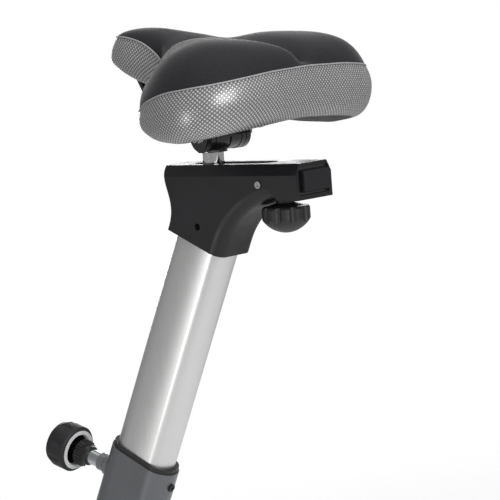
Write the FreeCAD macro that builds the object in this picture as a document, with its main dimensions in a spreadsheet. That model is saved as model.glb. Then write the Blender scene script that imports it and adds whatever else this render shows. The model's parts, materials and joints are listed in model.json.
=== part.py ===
import FreeCAD, Part
import math
import os
import Sketcher
from FreeCAD import Placement, Rotation, Vector

# Seat assembly of an upright exercise bike: the frame's seat tube, the height-adjustable post,
# the head with its sliding bar, the saddle clamp and the saddle.
#
# World frame: origin at the centre of the seat tube's lower end, +Z up, the rider faces -Y,
# +X is the rider's left. Every piece is symmetric about X = 0 unless a comment says otherwise.
#
# Four local frames are used, each a Placement:
#   tube frame    local Z runs up the leaning tube, local Y points to its rear wall
#   head frame    level, origin on the saddle stub's axis at the top of the head
#   pin frame     local Z runs out of the tube along the pull pin
#   saddle frame  origin on the clamp's round middle, turned nose up by saddle_pitch

DRIVING = {
    # seat tube and post
    "post_tilt": 25, "tube_depth": 82, "tube_width": 42, "tube_wall": 2, "tube_length": 250,
    "post_depth": 70, "post_width": 35, "post_wall": 2, "post_exposed": 252, "post_insert": 110,
    "post_rise": 51.3, "slide_gap": 0.3, "hole_pitch": 25,
    # bushing in the tube's mouth
    "bushing_depth": 60, "bushing_proud": 5, "bushing_lip": 1.5,
    # pull pin
    "pin_below_rim": 32.6, "pin_droop": 8, "pin_diameter": 8, "barrel_diameter": 16,
    "barrel_out": 25.8, "barrel_in": 8, "boss_diameter": 24, "boss_height": 12,
    "spline_diameter": 29, "cap_diameter": 50, "cap_start": 46.8, "cap_depth": 30.4,
    "pin_clear": 1,
    # head
    "head_rise": 77.5, "stub_set_back": 13.5, "head_width": 57, "head_front": 42,
    "head_rear": 124.5, "head_drop": 35, "head_wall": 2.6, "head_chamfer_in": 6.5,
    "head_chamfer_down": 11, "neck_curve": 82, "neck_rear": 37, "neck_round": 13,
    "slot_front": 21, "slot_rear": 79, "slot_width": 23.4, "side_screw_back": 77.5,
    "side_screw_drop": 19.8, "neck_screw_up": 18.8, "neck_screw_back": 2.2,
    # slide
    "channel_width": 47, "channel_height": 27, "channel_wall": 2, "channel_top": 4,
    "bar_width": 40, "bar_height": 20, "bar_wall": 2, "bar_front": 26, "bar_rear": 126,
    "stub_diameter": 22.2, "stub_wall": 2, "stub_top": 25.5,
    # lock knob
    "knob_back": 87.5, "knob_diameter": 48, "knob_top": 41, "knob_height": 28.5, "knob_hub": 18.4,
    "lock_screw": 10, "knob_grooves": 10,
    # saddle clamp and rails
    "clamp_height": 27, "bolt_lift": 4.5, "bolt_back": 12, "block_half": 17, "block_radius": 15.5,
    "rail_gauge": 24, "rail_lift": 12.1, "rail_diameter": 7, "ear_radius": 13.5,
    "clamp_half": 36, "clamp_bolt": 8,
    # saddle
    "saddle_pitch": 4.5, "lobe_radius": 70, "lobe_side": 66, "lobe_back": 55, "nose_radius": 29,
    "nose_front": 101, "saddle_top": 104, "skin": 2.5, "pan_thickness": 4, "tunnel_half": 46,
    "tunnel_roof": 50,
}

doc = FreeCAD.newDocument("seat_assembly")
sheet = doc.addObject("Spreadsheet::Sheet", "sizes")
for row, (alias, number) in enumerate(DRIVING.items(), start=1):
    sheet.set(f"A{row}", alias)
    sheet.set(f"B{row}", str(number))
    sheet.setAlias(f"B{row}", alias)
doc.recompute()


class Size:
    """A length worked out from the sheet: its number, and the expression that binds a property to it."""

    def __init__(self, number, text):
        self.number = float(number)
        self.text = text

    def joined(self, other, sign, number):
        return Size(number, f"({self.text} {sign} {as_size(other).text})")

    def __add__(self, other):
        return self.joined(other, "+", self.number + as_size(other).number)

    def __sub__(self, other):
        return self.joined(other, "-", self.number - as_size(other).number)

    def __mul__(self, other):
        return self.joined(other, "*", self.number * as_size(other).number)

    def __truediv__(self, other):
        return self.joined(other, "/", self.number / as_size(other).number)

    def __radd__(self, other):
        return as_size(other) + self

    def __rsub__(self, other):
        return as_size(other) - self

    def __rmul__(self, other):
        return as_size(other) * self

    def __neg__(self):
        return Size(-self.number, f"(-{self.text})")


def as_size(value):
    return value if isinstance(value, Size) else Size(value, repr(float(value)))


def sine(degrees):
    return Size(math.sin(math.radians(degrees.number)), f"sin({degrees.text})")


def cosine(degrees):
    return Size(math.cos(math.radians(degrees.number)), f"cos({degrees.text})")


size = {alias: Size(sheet.get(alias), f"sizes.{alias}") for alias in DRIVING}
nodes = []


# ---- local frames ----------------------------------------------------------------------------

def along_tube(distance, depth=0):
    """World point at a distance up the tube's axis and a depth towards its rear wall."""
    tilt = size["post_tilt"]
    distance = as_size(distance)
    depth = as_size(depth)
    return (as_size(0), distance * sine(tilt) + depth * cosine(tilt),
            distance * cosine(tilt) - depth * sine(tilt))


collar_centre = along_tube(size["tube_length"] + size["post_exposed"])
pin_foot = along_tube(size["tube_length"] - size["pin_below_rim"], -size["tube_depth"] / 2)
head_origin = (as_size(0), collar_centre[1] + size["stub_set_back"],
               collar_centre[2] + size["head_rise"])
saddle_origin = (as_size(0), head_origin[1], head_origin[2] + size["clamp_height"])

TUBE = ((as_size(0),) * 3, -size["post_tilt"])
HEAD = (head_origin, as_size(0))
PIN = (pin_foot, 90 - size["post_tilt"] + size["pin_droop"])
SADDLE = (saddle_origin, -size["saddle_pitch"])


def bind(item, **sizes):
    for name, value in sizes.items():
        value = as_size(value)
        item.setExpression(name, value.text)


def place(item, frame):
    """Sets a piece in its local frame: an origin bound to the sheet and a turn about X."""
    origin, turn = frame
    item.Placement = Placement(Vector(*(part.number for part in origin)),
                               Rotation(Vector(1, 0, 0), turn.number))
    for axis, part in zip("xyz", origin):
        item.setExpression(f"Placement.Base.{axis}", part.text)


def node(name, item, frame):
    """Names a finished piece and puts it in its frame."""
    item.Label = name
    place(item, frame)
    nodes.append(item)
    return item


# ---- small builders --------------------------------------------------------------------------

def moved(item, at, turn=None):
    item.Placement = Placement(Vector(*(as_size(part).number for part in at)),
                               turn or Rotation())
    for axis, part in zip("xyz", at):
        item.setExpression(f"Placement.Base.{axis}", as_size(part).text)
    return item


def rod(radius, low, high, at=(0, 0), turn=None, axis="z"):
    """Cylinder between two heights along an axis, through the given point of the plane across it."""
    low = as_size(low)
    high = as_size(high)
    item = doc.addObject("Part::Cylinder", "rod")
    bind(item, Radius=radius, Height=high - low)
    if axis == "x":
        return moved(item, (low, at[0], at[1]), Rotation(Vector(0, 1, 0), 90))
    if axis == "y":
        return moved(item, (at[0], low, at[1]), Rotation(Vector(1, 0, 0), -90))
    return moved(item, (at[0], at[1], low), turn)


def block(x_low, x_high, y_low, y_high, z_low, z_high):
    item = doc.addObject("Part::Box", "block")
    bind(item, Length=as_size(x_high) - x_low, Width=as_size(y_high) - y_low,
         Height=as_size(z_high) - z_low)
    return moved(item, (x_low, y_low, z_low))


def hexagon(across_flats, low, high, at=(0, 0)):
    item = doc.addObject("Part::Prism", "hexagon")
    item.Polygon = 6
    bind(item, Circumradius=as_size(across_flats) / math.sqrt(3), Height=as_size(high) - low)
    return moved(item, (at[0], at[1], low))


def cut(base, *tools):
    item = doc.addObject("Part::Cut", "cut")
    item.Base = base
    item.Tool = tools[0] if len(tools) == 1 else fuse(*tools)
    return item


def fuse(*shapes):
    item = doc.addObject("Part::MultiFuse", "fuse")
    item.Shapes = list(shapes)
    item.Refine = True
    return item


def common(*shapes):
    item = doc.addObject("Part::MultiCommon", "common")
    item.Shapes = list(shapes)
    return item


def group(*shapes):
    """Several separate solids kept in one piece, such as a pair of nuts."""
    item = doc.addObject("Part::Compound", "group")
    item.Links = list(shapes)
    return item


def twin(item, plane=(1, 0, 0)):
    """A mirrored copy of a piece across the middle of the bike."""
    copy = doc.addObject("Part::Mirroring", "twin")
    copy.Source = item
    copy.Base = Vector(0, 0, 0)
    copy.Normal = Vector(*plane)
    return copy


def new_sketch(body, role, lift=None):
    sketch = body.newObject("Sketcher::SketchObject", "outline")
    plane = [feature for feature in body.Origin.OriginFeatures if feature.Role == role][0]
    sketch.AttachmentSupport = [(plane, "")]
    sketch.MapMode = "FlatFace"
    if lift is not None:
        sketch.AttachmentOffset = Placement(Vector(0, 0, as_size(lift).number), Rotation())
        sketch.setExpression("AttachmentOffset.Base.z", as_size(lift).text)
    return sketch


def pin_point(sketch, edge, end, point):
    """Holds one end of an edge at a point that is bound to the sheet."""
    for kind, value in zip(("DistanceX", "DistanceY"), point):
        value = as_size(value)
        if abs(value.number) < 1e-9:
            axis = -2 if kind == "DistanceX" else -1
            sketch.addConstraint(Sketcher.Constraint("PointOnObject", edge, end, axis))
            continue
        index = sketch.addConstraint(Sketcher.Constraint(kind, -1, 1, edge, end, value.number))
        sketch.setExpression(f"Constraints[{index}]", value.text)


def arc_edge(start, through, end):
    """Arc through three points, drawn anticlockwise as sketches need, and whether it was turned round."""
    circle = Part.Arc(start, through, end).toShape().Curve
    reverse = (through - start).cross(end - start).z < 0
    if reverse:
        start, end = end, start
    first, last = (math.atan2(*reversed((point - circle.Center)[:2])) for point in (start, end))
    if last < first:
        last += 2 * math.pi
    flat = Part.Circle(circle.Center, Vector(0, 0, 1), circle.Radius)
    return Part.ArcOfCircle(flat, first, last), reverse


def outline(sketch, steps):
    """Closed outline. A step is a corner (u, v), or (u, v, through_u, through_v): an arc to the next
    corner that passes through the second point."""
    flat = [[as_size(value).number for value in step] for step in steps]
    count = len(steps)
    starts = []
    radii = {}
    for index, here in enumerate(flat):
        after = flat[(index + 1) % count]
        start = Vector(here[0], here[1], 0)
        end = Vector(after[0], after[1], 0)
        reverse = False
        if len(here) == 4:
            edge, reverse = arc_edge(start, Vector(here[2], here[3], 0), end)
            radii[index] = edge.Radius
        else:
            edge = Part.LineSegment(start, end)
        sketch.addGeometry(edge)
        starts.append(2 if reverse else 1)
    for index in range(count):
        following = (index + 1) % count
        sketch.addConstraint(Sketcher.Constraint("Coincident", index, 3 - starts[index],
                                                 following, starts[following]))
    for index, step in enumerate(steps):
        pin_point(sketch, index, starts[index], step[:2])
        if index in radii:
            sketch.addConstraint(Sketcher.Constraint("Radius", index, radii[index]))
    return sketch


def oval(sketch, length, width):
    """Flat oval, its straight sides along the sketch's second axis."""
    radius = as_size(width) / 2
    centre = as_size(length) / 2 - radius
    first = sketch.GeometryCount
    r = radius.number
    c = centre.number
    flat = Vector(0, 0, 1)
    sketch.addGeometry(Part.ArcOfCircle(Part.Circle(Vector(0, c, 0), flat, r), 0, math.pi))
    sketch.addGeometry(Part.LineSegment(Vector(-r, c, 0), Vector(-r, -c, 0)))
    sketch.addGeometry(Part.ArcOfCircle(Part.Circle(Vector(0, -c, 0), flat, r), math.pi, 2 * math.pi))
    sketch.addGeometry(Part.LineSegment(Vector(r, -c, 0), Vector(r, c, 0)))
    for index in range(4):
        sketch.addConstraint(Sketcher.Constraint("Tangent", first + index, 2,
                                                 first + (index + 1) % 4, 1))
    for index, value in ((first, centre), (first + 2, -centre)):
        sketch.addConstraint(Sketcher.Constraint("PointOnObject", index, 3, -2))
        row = sketch.addConstraint(Sketcher.Constraint("DistanceY", -1, 1, index, 3, value.number))
        sketch.setExpression(f"Constraints[{row}]", value.text)
    row = sketch.addConstraint(Sketcher.Constraint("Radius", first, r))
    sketch.setExpression(f"Constraints[{row}]", radius.text)


def oval_bar(length, width, low, high, bore=None):
    """Flat-oval bar or tube between two heights."""
    body = doc.addObject("PartDesign::Body", "oval_bar")
    sketch = new_sketch(body, "XY_Plane", low)
    oval(sketch, length, width)
    if bore:
        oval(sketch, *bore)
    pad = body.newObject("PartDesign::Pad", "pad")
    pad.Profile = sketch
    bind(pad, Length=as_size(high) - low)
    return body


def side_slab(steps, width):
    """Side outline (rearward, up) padded by a width, half to each side."""
    body = doc.addObject("PartDesign::Body", "slab")
    sketch = outline(new_sketch(body, "YZ_Plane"), steps)
    pad = body.newObject("PartDesign::Pad", "pad")
    pad.Profile = sketch
    pad.SideType = "Symmetric"
    bind(pad, Length=width)
    return body


def front_slab(steps, low, high):
    """Outline seen from the rear (left, up) padded from one distance back to another."""
    body = doc.addObject("PartDesign::Body", "slab")
    sketch = outline(new_sketch(body, "XZ_Plane", -as_size(high)), steps)
    pad = body.newObject("PartDesign::Pad", "pad")
    pad.Profile = sketch
    bind(pad, Length=as_size(high) - low)
    return body


def plan_slab(steps, low, high):
    """Plan outline (left, rearward) padded between two heights."""
    body = doc.addObject("PartDesign::Body", "slab")
    sketch = outline(new_sketch(body, "XY_Plane", low), steps)
    pad = body.newObject("PartDesign::Pad", "pad")
    pad.Profile = sketch
    bind(pad, Length=as_size(high) - low)
    return body


def turned(steps):
    """Half outline (radius, height) revolved about the local Z axis."""
    body = doc.addObject("PartDesign::Body", "turned")
    sketch = outline(new_sketch(body, "XZ_Plane"), steps)
    spin = body.newObject("PartDesign::Revolution", "spin")
    spin.Profile = sketch
    spin.ReferenceAxis = (sketch, ["V_Axis"])
    spin.Angle = 360
    return body


def bent_rod(points, bend, radius):
    """Round rod along straight runs joined by tangent arcs."""
    points = [Vector(*(as_size(value).number for value in point)) for point in points]
    edges = []
    here = points[0]
    for before, corner, after in zip(points, points[1:], points[2:]):
        inward = (before - corner).normalize()
        outward = (after - corner).normalize()
        half = inward.getAngle(outward) / 2
        reach = bend / math.tan(half)
        start = corner + inward * reach
        end = corner + outward * reach
        towards = (inward + outward).normalize()
        middle = corner + towards * (bend / math.sin(half) - bend)
        edges.append(Part.LineSegment(here, start).toShape())
        edges.append(Part.Arc(start, middle, end).toShape())
        here = end
    edges.append(Part.LineSegment(here, points[-1]).toShape())
    path = Part.Wire(edges)
    ring = Part.Wire(Part.Circle(points[0], points[1] - points[0], as_size(radius).number).toShape())
    item = doc.addObject("Part::Feature", "bent_rod")
    item.Shape = path.makePipeShell([ring], True, False)
    return item


# ---- seat tube, bushing and pull pin ---------------------------------------------------------

def pin_tool(radius, low, high):
    """Cylinder along the pull pin, given in the tube frame."""
    item = doc.addObject("Part::Cylinder", "pin_tool")
    low = as_size(low)
    bind(item, Radius=radius, Height=as_size(high) - low)
    droop = size["pin_droop"]
    turn = Rotation(Vector(1, 0, 0), 90 + droop.number)
    foot_depth = -size["tube_depth"] / 2
    foot_height = size["tube_length"] - size["pin_below_rim"]
    return moved(item, (0, foot_depth - low * cosine(droop), foot_height - low * sine(droop)), turn)


def seat_tube():
    s = size
    inner = (s["tube_depth"] - 2 * s["tube_wall"], s["tube_width"] - 2 * s["tube_wall"])
    tube = oval_bar(s["tube_depth"], s["tube_width"], 0, s["tube_length"], inner)
    pin_hole = pin_tool(s["barrel_diameter"] / 2 + 0.5, -15, 15)
    screw_hole = rod(2.6, s["tube_depth"] / 2 - 6, s["tube_depth"] / 2 + 3,
                     (0, s["tube_length"] - 15), axis="y")
    node("seat_tube", cut(tube, pin_hole, screw_hole), TUBE)


def tube_bushing():
    s = size
    rim = s["tube_length"]
    gap = 2 * s["slide_gap"]
    outer = (s["tube_depth"] - 2 * s["tube_wall"] - 0.1, s["tube_width"] - 2 * s["tube_wall"] - 0.1)
    sleeve = oval_bar(*outer, rim - s["bushing_depth"], rim)
    lip = oval_bar(s["tube_depth"] - 2 * s["bushing_lip"], s["tube_width"] - 2 * s["bushing_lip"],
                   rim, rim + s["bushing_proud"])
    bore = oval_bar(s["post_depth"] + gap, s["post_width"] + gap,
                    rim - s["bushing_depth"] - 1, rim + s["bushing_proud"] + 1)
    pin_hole = pin_tool(s["barrel_diameter"] / 2 + 0.5, -15, 15)
    screw_hole = rod(2.2, s["post_depth"] / 2 - 2, s["tube_depth"] / 2 + 3, (0, rim - 15), axis="y")
    node("tube_bushing", cut(fuse(sleeve, lip), bore, pin_hole, screw_hole), TUBE)


def bushing_screw():
    """Button-head socket screw through the tube's rear wall into the bushing."""
    s = size
    face = s["tube_depth"] / 2
    at = (0, s["tube_length"] - 15)
    shank = rod(2.15, face - 4.4, face, at, axis="y")
    head = rod(4.2, face, face + 2.2, at, axis="y")
    socket = hexagon(2.5, 0, 3)
    socket = moved(socket, (0, face + 0.8, at[1]), Rotation(Vector(1, 0, 0), -90))
    node("bushing_screw", cut(fuse(shank, head), socket), TUBE)


def pin_boss():
    """Flared boss welded on the tube's front wall, threaded for the pin's barrel."""
    s = size
    flare = s["boss_diameter"] / 2
    bore = s["barrel_diameter"] / 2 + 0.05
    tip = bore + 1.6
    top = s["boss_height"]
    boss = turned([(bore, -6), (flare, -6), (flare, 1.5), (flare - 2.4, 4.5), (tip, 9), (tip, top),
                   (bore, top)])
    room = oval_bar(s["tube_depth"], s["tube_width"], -60, 60)
    droop = size["pin_droop"]
    moved(room, (0, -(s["tube_depth"] / 2) * sine(droop), -(s["tube_depth"] / 2) * cosine(droop)),
          Rotation(Vector(1, 0, 0), -90 - droop.number))
    node("pin_boss", cut(boss, room), PIN)


def pin_barrel():
    """Zinc barrel that screws into the boss and guides the pin."""
    s = size
    radius = s["barrel_diameter"] / 2
    bore = s["pin_diameter"] / 2 + 0.05
    chamber = radius - 1.8
    low = -s["barrel_in"] + 4
    node("pin_barrel", turned([(chamber, low), (radius, low), (radius, s["barrel_out"]),
                               (bore, s["barrel_out"]), (bore, 24), (chamber, 24)]), PIN)


def spline_collar():
    """Toothed plastic collar on the barrel; the cap engages its teeth when it is pushed in."""
    s = size
    bore = s["pin_diameter"] / 2 + 0.2
    start = s["barrel_out"]
    teeth_from = start + 8
    teeth_to = start + 16
    root = s["spline_diameter"] / 2 - 1.6
    body = turned([(bore, start), (8.6, start), (10.5, start + 1.5), (10.5, teeth_from - 1),
                   (root, teeth_from), (root, teeth_to), (bore, teeth_to)])
    teeth = []
    count = 24
    for index in range(count):
        tooth = doc.addObject("Part::Prism", "tooth")
        tooth.Polygon = 3
        bind(tooth, Circumradius=3.2, Height=teeth_to - teeth_from)
        angle = 360 * index / count
        reach = s["spline_diameter"].number / 2 - 3.2
        tooth.Placement = Placement(Vector(reach * math.cos(math.radians(angle)),
                                           reach * math.sin(math.radians(angle)),
                                           teeth_from.number),
                                    Rotation(Vector(0, 0, 1), angle))
        teeth.append(tooth)
    node("spline_collar", fuse(body, *teeth), PIN)


def pull_pin():
    """Steel pin, drawn out so that its nose is just clear of the post."""
    s = size
    nose = -(s["tube_depth"] - s["post_depth"]) / 2 + s["pin_clear"]
    shank = s["pin_diameter"] / 2
    flange = shank + 1.9
    node("pull_pin", turned([(0, nose), (shank - 1.2, nose), (shank, nose + 1.2), (shank, 3.2),
                             (flange, 3.2), (flange, 5), (shank, 5), (shank, 62),
                             (shank - 1, 63), (shank - 1, 70), (0, 70)]), PIN)


def pin_spring():
    """Compression spring in the barrel, squeezed while the pin is parked out."""
    wire = 0.55
    radius = 5.1
    start = 5.8
    length = 17.4
    helix = Part.Wire(Part.makeLongHelix(length / 6, length, radius))
    helix.translate(Vector(0, 0, start))
    ring = Part.Circle(Vector(radius, 0, start), Vector(0, 1, 0), wire)
    item = doc.addObject("Part::Feature", "spring")
    item.Shape = helix.makePipeShell([Part.Wire(ring.toShape())], True, True)
    node("pin_spring", item, PIN)


def pull_cap():
    """Hollow ribbed cap; its rim takes the ring and its hub holds the pin's end."""
    s = size
    rim = s["cap_diameter"] / 2
    start = s["cap_start"]
    end = start + s["cap_depth"]
    body = turned([(17.2, start + 3), (21.4, start + 3), (21.4, start), (rim - 1.6, start),
                   (rim, start + 2), (rim, end - 12), (rim - 2.6, end - 5), (rim - 9, end - 0.8),
                   (7, end), (0, end), (0, 70.1), (5.1, 70.1), (5.1, 62), (9, 62), (9, end - 5),
                   (17.2, end - 8)])
    grooves = []
    count = 8
    for index in range(count):
        angle = 360 * (index + 0.5) / count
        reach = rim.number + 5.4
        groove = doc.addObject("Part::Cylinder", "groove")
        bind(groove, Radius=7, Height=s["cap_depth"])
        groove.Placement = Placement(Vector(reach * math.cos(math.radians(angle)),
                                            reach * math.sin(math.radians(angle)),
                                            (start + 6).number), Rotation())
        grooves.append(groove)
    node("pull_cap", cut(body, *grooves), PIN)


def cap_fittings():
    s = size
    start = s["cap_start"]
    node("cap_ring", turned([(16.6, start - 0.2), (17.6, start - 1.2), (21.3, start - 1.2),
                             (21.3, start + 2.9), (16, start + 2.9)]), PIN)
    nut = cut(hexagon(8.6, 64, 69.5), rod(s["pin_diameter"] / 2 - 0.95, 63, 71))
    node("cap_insert", nut, PIN)


# ---- seat post and head ----------------------------------------------------------------------

def post_span():
    """Heights of the post's lower end and of its top, up the tube's axis."""
    low = size["tube_length"] - size["post_insert"]
    top = size["tube_length"] + size["post_exposed"] + size["post_rise"]
    return low, top


def seat_post():
    """Flat-oval post, its top cut level where it is welded under the head's channel."""
    s = size
    low, top = post_span()
    inner = (s["post_depth"] - 2 * s["post_wall"], s["post_width"] - 2 * s["post_wall"])
    tube = oval_bar(s["post_depth"], s["post_width"], low, top + 30, inner)
    level = block(-40, 40, -80, 80, 0, 80)
    moved(level, (-40, -80 * cosine(s["post_tilt"]), top - 80 * sine(s["post_tilt"])),
          Rotation(Vector(1, 0, 0), s["post_tilt"].number))
    holes = []
    for step in range(-1, 6):
        hole = pin_tool(s["pin_diameter"] / 2 + 0.4, -12, 2)
        moved(hole, (0, -s["tube_depth"] / 2 + 12 * cosine(s["pin_droop"]),
                     s["tube_length"] - s["pin_below_rim"] + 12 * sine(s["pin_droop"])
                     + step * s["hole_pitch"]), Rotation(Vector(1, 0, 0), 90 + s["pin_droop"].number))
        holes.append(hole)
    screw_way = rod(1.75, -30, 30, (s["neck_screw_back"],
                                    s["tube_length"] + s["post_exposed"] + s["neck_screw_up"]),
                    axis="x")
    node("seat_post", cut(tube, level, screw_way, *holes), TUBE)


def post_plug():
    """Plastic plug in the post's lower end."""
    s = size
    low, _ = post_span()
    flange = oval_bar(s["post_depth"] - 0.4, s["post_width"] - 0.4, low - 3, low)
    stem = oval_bar(s["post_depth"] - 2 * s["post_wall"] - 0.1,
                    s["post_width"] - 2 * s["post_wall"] - 0.1, low, low + 16)
    hollow = oval_bar(s["post_depth"] - 2 * s["post_wall"] - 5,
                      s["post_width"] - 2 * s["post_wall"] - 5, low + 1, low + 17)
    node("post_plug", cut(fuse(flange, stem), hollow), TUBE)


def channel_floor():
    return size["channel_top"] + size["channel_height"]


def head_channel():
    """Rectangular steel tube on the post that the slide bar runs in, slotted along its top."""
    s = size
    half = s["channel_width"] / 2
    wall = s["channel_wall"]
    top = -s["channel_top"]
    floor = -channel_floor()
    tube = block(-half, half, -34, s["head_rear"] - 2.5, floor, top)
    bore = block(wall - half, half - wall, -35, s["head_rear"], floor + wall, top - wall)
    slot = block(-s["slot_width"] / 2, s["slot_width"] / 2, -s["slot_front"], s["slot_rear"],
                 top - wall - 1, top + 1)
    screw_way = rod(s["lock_screw"] / 2 + 0.6, floor - 1, floor + wall + 1, (0, s["knob_back"]))
    side_way = rod(2.1, -half - 1, half + 1, side_screw_point(), axis="x")
    node("head_channel", cut(tube, bore, slot, screw_way, side_way), HEAD)


def lock_nut():
    """Weld nut under the channel that the lock screw turns in."""
    s = size
    floor = -channel_floor()
    nut = cut(hexagon(17, floor - 3.9, floor, (0, s["knob_back"])),
              rod(s["lock_screw"] / 2 + 0.05, floor - 5, floor + 1, (0, s["knob_back"])))
    node("lock_nut", nut, HEAD)


def channel_liners():
    """Nylon liners, one at each end of the channel, that the bar slides on."""
    s = size
    half = s["channel_width"] / 2 - s["channel_wall"]
    top = -s["channel_top"] - s["channel_wall"]
    floor = -channel_floor() + s["channel_wall"]
    gap = s["slide_gap"]
    bar_half = s["bar_width"] / 2
    middle = -s["channel_top"] - s["channel_height"] / 2
    bar_up = s["bar_height"] / 2
    way = block(-bar_half - gap, bar_half + gap, -60, 200, middle - bar_up - gap,
                middle + bar_up + gap)
    slot = block(-s["slot_width"] / 2, s["slot_width"] / 2, -s["slot_front"], s["slot_rear"],
                 middle, top + 5)
    for name, start, end in (("front_liner", -33, -8), ("rear_liner", 97, 121)):
        liner = block(-half, half, start, end, floor, top)
        node(name, cut(liner, way, slot), HEAD)


def neck_arc(inset):
    """The curve under the head, tangent to the post's lean and to the head's underside.
    Returns the foot of the neck's rear edge, then the curve's lower end, a point on it and its
    upper end; inset moves it into the solid."""
    s = size
    tilt = s["post_tilt"].number
    radius = s["neck_curve"].number + inset
    rear = s["neck_rear"].number - inset
    floor = -s["head_drop"].number + inset
    up = (math.sin(math.radians(tilt)), math.cos(math.radians(tilt)))
    base = (-s["stub_set_back"].number + rear * up[1], -s["head_rise"].number - rear * up[0])
    corner = base[0] + (floor - base[1]) * up[0] / up[1]
    turn = math.radians(90 - tilt)
    reach = radius * math.tan(turn / 2)
    low = (corner - reach * up[0], floor - reach * up[1])
    high = (corner + reach, floor)
    centre = (high[0], floor - radius)
    half = math.radians(90) + turn / 2
    middle = (centre[0] + radius * math.cos(half), centre[1] + radius * math.sin(half))
    return base, low, middle, high


def head_side(inset, front, shelf):
    """Side outline of the head: slim slider at the rear, neck down to the collar at the front.
    The shelf is the small step down where the curve meets the head's underside."""
    s = size
    foot, low, middle, high = neck_arc(inset)
    tilt = math.radians(s["post_tilt"].number)
    collar = foot[1] + inset / math.cos(tilt)
    end = s["head_rear"] - inset
    under = inset - s["head_drop"] - shelf
    step = [(high[0] + shelf, under)] if shelf else []
    return [(front, -inset), (end, -inset), (end, under), *step, (*high, *middle), low,
            (foot[0], collar), (front, collar + (foot[0] - front) * math.tan(tilt))]


def rounded_neck(side, radius):
    """Rounds the two long edges down the back of the neck of a slab with the head's outline."""
    doc.recompute()
    square = side.Tip
    fillet = side.newObject("PartDesign::Fillet", "neck_round")
    names = []
    for index, edge in enumerate(square.Shape.Edges, start=1):
        if edge.Curve.TypeId == "Part::GeomCircle":
            names.append(f"Edge{index}")
    fillet.Base = (square, names)
    bind(fillet, Radius=radius)
    return side


def head_outer():
    """Outer form of the head cover as one solid."""
    s = size
    half = s["head_width"] / 2
    side = rounded_neck(side_slab(head_side(0, -60, 0.8), s["head_width"]), s["neck_round"])
    # the front bulges forward and is hollowed slightly below its brow
    brow = doc.addObject("PartDesign::Body", "brow")
    sections = []
    for height, front in ((0, 39), (-12, 42), (-30, 37.8), (-54, 37.8), (-110, 43)):
        sketch = new_sketch(brow, "XY_Plane", height)
        corner = as_size(-front)
        outline(sketch, [(half, corner), (half, 30), (-half, 30),
                         (-half, corner, 0, corner - 10)])
        sections.append(sketch)
    loft = brow.newObject("PartDesign::AdditiveLoft", "loft")
    loft.Profile = sections[0]
    loft.Sections = sections[1:]
    rear = block(-half, half, 10, s["head_rear"] + 5, -130, 5)
    chamfer_in = half - s["head_chamfer_in"]
    down = -s["head_chamfer_down"]
    octagon = front_slab([(-chamfer_in, 0), (chamfer_in, 0), (half, down), (half, -130),
                          (-half, -130), (-half, down)], -70, s["head_rear"])
    return common(side, fuse(brow, rear), octagon)


def head_inner():
    """Space inside the head cover."""
    s = size
    wall = s["head_wall"].number
    inner_half = s["head_width"] / 2 - s["head_wall"]
    side = rounded_neck(side_slab(head_side(wall, -39, 0), 2 * inner_half),
                        s["neck_round"] - wall)
    chamfer_in = inner_half - s["head_chamfer_in"] + 1
    down = -s["head_chamfer_down"] - 1
    octagon = front_slab([(-chamfer_in, -wall), (chamfer_in, -wall), (inner_half, down),
                          (inner_half, -130), (-inner_half, -130), (-inner_half, down)],
                         -70, s["head_rear"])
    return common(side, octagon)


def side_screw_point():
    """Where the side screws cross the head, in the head frame (rearward, up)."""
    return size["side_screw_back"], -size["side_screw_drop"]


def neck_screw_point():
    """Where the neck screws cross the post, in the head frame (rearward, up)."""
    s = size
    tilt = s["post_tilt"]
    up = s["neck_screw_up"]
    back = s["neck_screw_back"]
    return (up * sine(tilt) + back * cosine(tilt) - s["stub_set_back"],
            up * cosine(tilt) - back * sine(tilt) - s["head_rise"])


def head_covers():
    """Left and right plastic half covers of the head."""
    s = size
    side_at = side_screw_point()
    neck_at = neck_screw_point()
    collar = oval_bar(s["post_depth"] + 0.4, s["post_width"] + 0.4, -20, 70)
    moved(collar, (0, -s["stub_set_back"], -s["head_rise"]),
          Rotation(Vector(1, 0, 0), -s["post_tilt"].number))
    channel_way = block(-s["channel_width"] / 2 - 0.3, s["channel_width"] / 2 + 0.3, -35, 200,
                        -channel_floor() - 0.3, -s["channel_top"] + 0.3)
    slot = fuse(block(-s["slot_width"] / 2, s["slot_width"] / 2,
                      s["slot_width"] / 2 - s["slot_front"], s["slot_rear"] - s["slot_width"] / 2, -6, 2),
                rod(s["slot_width"] / 2, -6, 2, (0, s["slot_width"] / 2 - s["slot_front"])),
                rod(s["slot_width"] / 2, -6, 2, (0, s["slot_rear"] - s["slot_width"] / 2)))
    nut_way = rod(10.2, -50, -30, (0, s["knob_back"]))
    side_way = rod(2.7, -40, 40, side_at, axis="x")
    neck_way = rod(1.9, -40, 40, neck_at, axis="x")
    seats = []
    pillars = []
    for sign in (1, -1):
        for radius, at, floor in ((4.4, side_at, 27.3), (3.6, neck_at, 22)):
            seats.append(rod(radius, *sorted((sign * floor, sign * 40)), at, axis="x"))
        pillars.append(rod(5.4, *sorted((sign * 17.7, sign * 26.2)), neck_at, axis="x"))
    shell = cut(head_outer(), head_inner(), channel_way, slot, nut_way)
    shell = cut(fuse(shell, *pillars), collar, side_way, neck_way, *seats)
    left = common(shell, block(0, 60, -80, 160, -160, 20))
    right = common(shell, block(-60, 0, -80, 160, -160, 20))
    node("head_cover_left", left, HEAD)
    node("head_cover_right", right, HEAD)


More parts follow.
